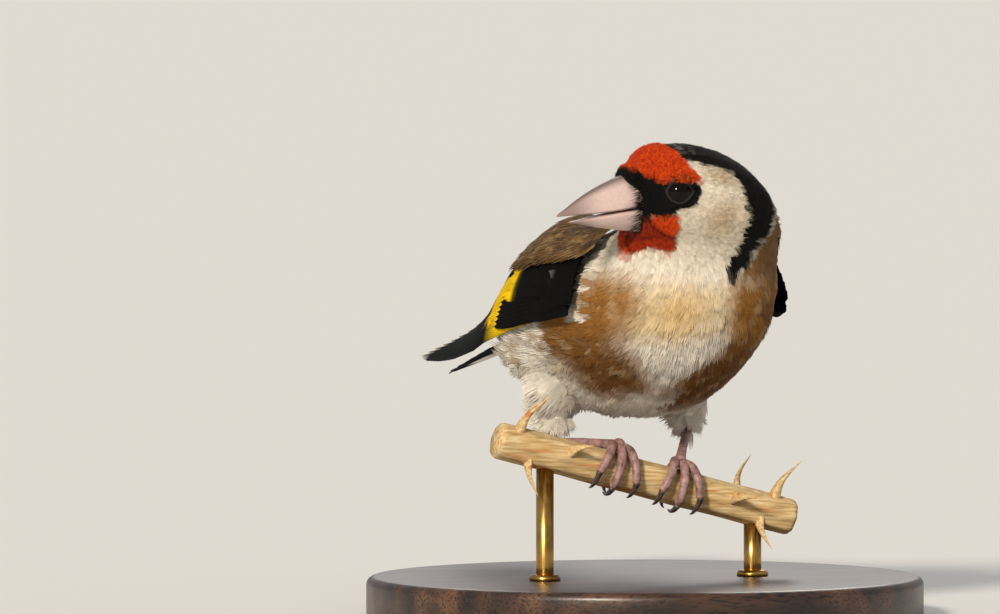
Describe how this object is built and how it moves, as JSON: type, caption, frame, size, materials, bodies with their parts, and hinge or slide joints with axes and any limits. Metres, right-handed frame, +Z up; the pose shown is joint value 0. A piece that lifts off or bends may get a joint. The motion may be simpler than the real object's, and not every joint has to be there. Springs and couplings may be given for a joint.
{
  "type": "european goldfinch",
  "caption": "Life-size still model of a songbird with head turned, gripping a cut length of dry thistle stem held over a round base",
  "frame": {"origin": "middle of the underside of the stand's base", "axes": "+Z up, -Y the way the bird's body faces, +Y towards its tail and the longest way, +X the bird's left; the head is turned to the bird's right, towards -X"},
  "size_m": [0.082, 0.1204, 0.0712],
  "materials": {
    "body_plumage": "soft short feathers, tawny above and on the breast sides, cream and white below",
    "head_plumage": "soft short feathers, red face, white cheek, black crown and neck band",
    "flight_feathers": "close smooth feathers, black with a yellow bar and white tips",
    "down": "loose white leg feathers",
    "bill": "smooth horn, pinkish white, darker along the ridge",
    "eye": "glossy dark brown",
    "leg_skin": "scaly pinkish brown",
    "claw": "smooth dark horn",
    "dry_stem": "dry, ribbed, straw coloured",
    "base_wood": "dark satin",
    "rod_brass": "satin"
  },
  "bodies": {
    "root": {"torso": "body_plumage", "neck": "body_plumage", "head": "head_plumage", "bill_upper": "bill", "bill_lower": "bill", "eye_left": "eye", "eye_right": "eye", "wing_left": "flight_feathers", "wing_right": "flight_feathers", "tail": "flight_feathers", "shin_left": "down", "shin_right": "down", "tarsus_left": "leg_skin", "tarsus_right": "leg_skin", "foot_left": "leg_skin", "foot_right": "leg_skin", "claw_left_inner": "claw", "claw_left_middle": "claw", "claw_left_outer": "claw", "claw_left_hind": "claw", "claw_right_inner": "claw", "claw_right_middle": "claw", "claw_right_outer": "claw", "claw_right_hind": "claw", "thistle_stem": "dry_stem", "stand_base": "base_wood", "stand_rod_1": "rod_brass", "stand_rod_2": "rod_brass"}
  },
  "joints": []
}
